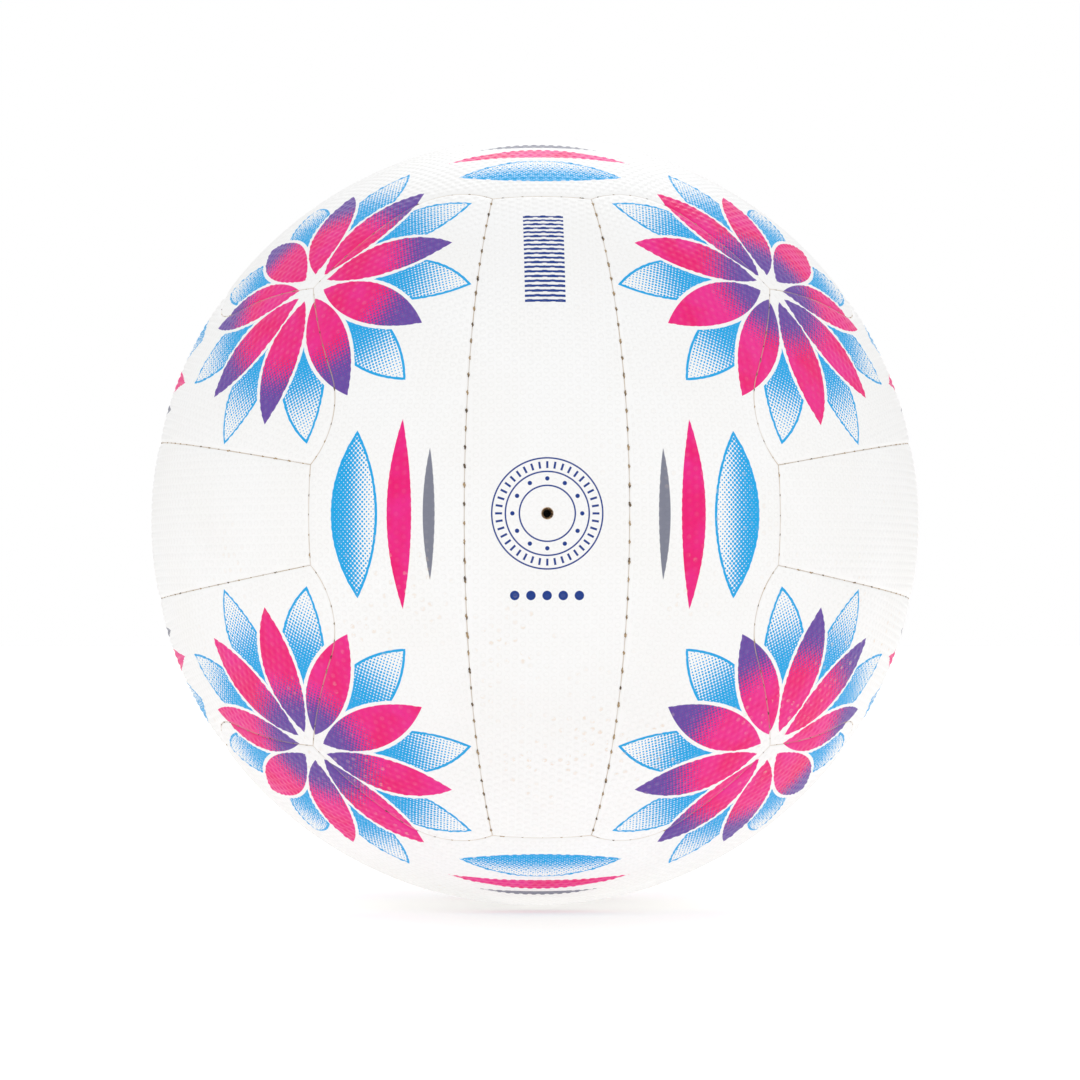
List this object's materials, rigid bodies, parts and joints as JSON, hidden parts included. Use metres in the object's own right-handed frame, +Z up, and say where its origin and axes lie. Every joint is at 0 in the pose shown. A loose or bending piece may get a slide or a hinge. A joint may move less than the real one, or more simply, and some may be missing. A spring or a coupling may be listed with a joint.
{
  "type": "netball",
  "caption": "Round stitched ball for netball: grip-rubber cover strips over cloth lining and an inflated rubber bladder, with a needle valve.",
  "frame": {"origin": "centre of the ball", "axes": "+Z up; -Y out through the needle valve in the middle of the front face; the front face's strips run along Z, the top face's along X and the side faces' along Y"},
  "size_m": [0.2228, 0.2228, 0.2228],
  "materials": {
    "cover_rubber": "satin moulded grip rubber with a pimpled surface and a printed design",
    "lining_cloth": "plain woven laminated cloth",
    "thread": "waxed twisted thread",
    "bladder_rubber": "matt butyl",
    "valve_rubber": "matt moulded"
  },
  "bodies": {
    "root": {"bladder": "bladder_rubber", "bladder_patch": "bladder_rubber", "cover_back_left": "cover_rubber", "cover_back_middle": "cover_rubber", "cover_back_right": "cover_rubber", "cover_bottom_back": "cover_rubber", "cover_bottom_front": "cover_rubber", "cover_bottom_middle": "cover_rubber", "cover_front_left": "cover_rubber", "cover_front_middle": "cover_rubber", "cover_front_right": "cover_rubber", "cover_left_lower": "cover_rubber", "cover_left_middle": "cover_rubber", "cover_left_upper": "cover_rubber", "cover_right_lower": "cover_rubber", "cover_right_middle": "cover_rubber", "cover_right_upper": "cover_rubber", "cover_top_back": "cover_rubber", "cover_top_front": "cover_rubber", "cover_top_middle": "cover_rubber", "lining_back_left": "lining_cloth", "lining_back_middle": "lining_cloth", "lining_back_right": "lining_cloth", "lining_bottom_back": "lining_cloth", "lining_bottom_front": "lining_cloth", "lining_bottom_middle": "lining_cloth", "lining_front_left": "lining_cloth", "lining_front_middle": "lining_cloth", "lining_front_right": "lining_cloth", "lining_left_lower": "lining_cloth", "lining_left_middle": "lining_cloth", "lining_left_upper": "lining_cloth", "lining_right_lower": "lining_cloth", "lining_right_middle": "lining_cloth", "lining_right_upper": "lining_cloth", "lining_top_back": "lining_cloth", "lining_top_front": "lining_cloth", "lining_top_middle": "lining_cloth", "thread_back_bottom_edge": "thread", "thread_back_strips": "thread", "thread_back_top_edge": "thread", "thread_bottom_left_edge": "thread", "thread_bottom_right_edge": "thread", "thread_bottom_strips": "thread", "thread_front_bottom_edge": "thread", "thread_front_strips": "thread", "thread_front_top_edge": "thread", "thread_left_back_edge": "thread", "thread_left_front_edge": "thread", "thread_left_strips": "thread", "thread_right_back_edge": "thread", "thread_right_front_edge": "thread", "thread_right_strips": "thread", "thread_top_left_edge": "thread", "thread_top_right_edge": "thread", "thread_top_strips": "thread", "valve_core": "valve_rubber", "valve_housing": "valve_rubber"}
  },
  "joints": []
}
